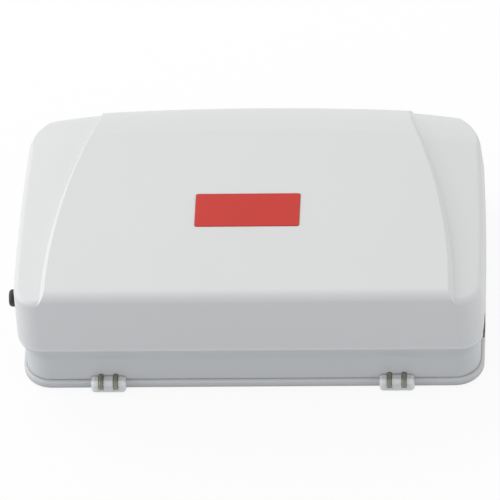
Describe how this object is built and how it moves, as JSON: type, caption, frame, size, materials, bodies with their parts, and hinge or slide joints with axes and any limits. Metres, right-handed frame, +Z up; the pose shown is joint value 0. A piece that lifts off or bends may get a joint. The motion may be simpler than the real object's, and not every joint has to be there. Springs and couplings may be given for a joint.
{
  "type": "water leak alarm",
  "caption": "Low rounded box lying on the floor, arched raised panel on top, sensing tabs with bare wires along the front foot, push button and sensor socket in the ends.",
  "frame": {"origin": "middle of the underside", "axes": "+X along the long side towards the sensor socket, +Y to the bowed back, +Z up"},
  "size_m": [0.1688, 0.099, 0.0492],
  "materials": {
    "casing": "fine satin moulding",
    "gasket": "matt",
    "label": "smooth printed film",
    "button": "satin",
    "black_plastic": "satin",
    "sensing_wire": "dulled",
    "cell": "film sleeve over the can",
    "plated_steel": "nickel plated",
    "screw_steel": "zinc plated",
    "brass": "bright",
    "board": "lacquered laminate",
    "can": "bare with a film sleeve",
    "ferrite": "ground",
    "white_plastic": "satin",
    "red_sleeve": "satin",
    "black_sleeve": "satin"
  },
  "bodies": {
    "case": {"top_cover": "casing", "lower_case": "casing", "base_plate": "casing", "base_gasket": "gasket", "label_plate": "label", "push_switch": "black_plastic", "sensor_socket": "black_plastic", "sensing_wire_1": "sensing_wire", "sensing_wire_2": "sensing_wire", "sensing_wire_3": "sensing_wire", "sensing_wire_4": "sensing_wire", "battery_1": "cell", "battery_2": "cell", "battery_3": "cell", "battery_4": "cell", "battery_contacts": "plated_steel", "battery_link": "plated_steel", "battery_springs": "plated_steel", "siren_housing": "black_plastic", "siren_disc": "brass", "siren_ring": "black_plastic", "main_board": "board", "main_chip": "black_plastic", "driver_chip": "black_plastic", "capacitors": "can", "boost_coil": "ferrite", "resistors": "black_plastic", "battery_header": "white_plastic", "siren_header": "white_plastic", "lead_plus": "red_sleeve", "lead_minus": "black_sleeve", "siren_lead_1": "red_sleeve", "siren_lead_2": "black_sleeve", "case_screws": "screw_steel", "board_screws": "screw_steel", "siren_screws": "screw_steel"},
    "test_button": {"test_button": "button"},
    "battery_door": {"battery_door": "casing"}
  },
  "joints": [
    {"name": "button_press", "type": "slide", "parent": "case", "child": "test_button", "axis": [1, 0, 0], "range_m": [0, 0.0015], "stiffness_N_per_m": 600, "springref_m": -0.001},
    {"name": "door_slide", "type": "slide", "parent": "case", "child": "battery_door", "axis": [0, 1, 0], "range_m": [0, 0.034]}
  ]
}
